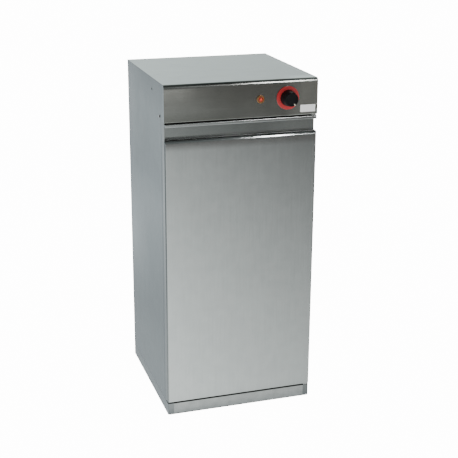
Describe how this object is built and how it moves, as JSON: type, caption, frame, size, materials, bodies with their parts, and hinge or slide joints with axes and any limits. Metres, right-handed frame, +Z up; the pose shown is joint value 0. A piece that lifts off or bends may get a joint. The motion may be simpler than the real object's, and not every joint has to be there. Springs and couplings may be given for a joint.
{
  "type": "plate warmer cabinet",
  "caption": "Free-standing stainless plate warmer: upright insulated cabinet, pivoted door with a folded grip channel, wire shelves over a guarded heater, rotary thermostat and signal lamp.",
  "frame": {"origin": "middle of the base's footprint, on the floor", "axes": "+X to the right seen from the front, +Y to the back, +Z up; the door's face and the fascia look along -Y"},
  "size_m": [0.4038, 0.4502, 0.885],
  "materials": {
    "brushed_casing": "brushed stainless steel with fine grain and light handling marks",
    "bare_sheet": "plain mill-finish stainless sheet",
    "mineral_wool": "compressed mineral wool slab",
    "chromed_wire": "bright chromed wire",
    "fastener_steel": "bright plated steel",
    "element_sheath": "heat-darkened tubular sheath",
    "brass_fitting": "turned brass",
    "copper_tube": "drawn copper tube",
    "red_plastic": "moulded red plastic, slightly glossy",
    "gilt_collar": "gilt moulded collar",
    "signal_lens": "translucent red moulded lens",
    "black_plastic": "black moulded plastic",
    "cream_plastic": "cream moulded plastic",
    "wire_insulation": "silicone-insulated wire",
    "silicone_gasket": "dark silicone strip",
    "pointer_white": "pale moulded inlay"
  },
  "bodies": {
    "cabinet": {"top_cover": "brushed_casing", "left_side_panel": "brushed_casing", "right_side_panel": "brushed_casing", "back_panel": "bare_sheet", "base_tray": "brushed_casing", "plinth_front": "brushed_casing", "floor_pan": "bare_sheet", "front_frame": "bare_sheet", "control_shelf": "bare_sheet", "left_cleat": "bare_sheet", "right_cleat": "bare_sheet", "liner_wrap": "bare_sheet", "liner_floor": "bare_sheet", "liner_back": "bare_sheet", "side_insulation": "mineral_wool", "back_insulation": "mineral_wool", "roof_insulation": "mineral_wool", "floor_insulation": "mineral_wool", "left_rack": "chromed_wire", "right_rack": "chromed_wire", "rack_studs": "fastener_steel", "lower_shelf": "chromed_wire", "upper_shelf": "chromed_wire", "heating_element": "element_sheath", "element_bushes": "brass_fitting", "front_element_stand": "bare_sheet", "rear_element_stand": "bare_sheet", "element_guard": "bare_sheet", "thermostat_body": "cream_plastic", "capillary": "copper_tube", "thermostat_bulb": "copper_tube", "bulb_clips": "fastener_steel", "thermostat_screws": "fastener_steel", "dial_bezel": "red_plastic", "lamp_collar": "gilt_collar", "lamp_lens": "signal_lens", "lamp_nut": "black_plastic", "terminal_block": "cream_plastic", "wiring_loom": "wire_insulation", "cable_gland": "black_plastic", "gland_nut": "black_plastic", "upper_hinge_leaf": "fastener_steel", "lower_hinge_leaf": "fastener_steel", "hinge_pins": "fastener_steel", "hinge_screws": "fastener_steel", "side_screws": "fastener_steel", "cleat_rivets": "fastener_steel", "back_screws": "fastener_steel", "magnetic_catch": "black_plastic"},
    "door": {"door_skin": "brushed_casing", "door_inner_panel": "bare_sheet", "door_insulation": "mineral_wool", "door_gasket": "silicone_gasket", "pivot_bushes": "cream_plastic", "catch_strike": "fastener_steel", "door_rivets": "fastener_steel"},
    "knob": {"knob": "black_plastic", "knob_pointer": "pointer_white", "thermostat_shaft": "fastener_steel"}
  },
  "joints": [
    {"name": "door_hinge", "type": "hinge", "parent": "cabinet", "child": "door", "pos_m": [0.193, -0.1948, 0.4], "axis": [0, 0, 1], "range_deg": [0, 180]},
    {"name": "knob_turn", "type": "hinge", "parent": "cabinet", "child": "knob", "pos_m": [0.119, -0.201, 0.8382], "axis": [0, 1, 0], "range_deg": [-135, 135]}
  ]
}
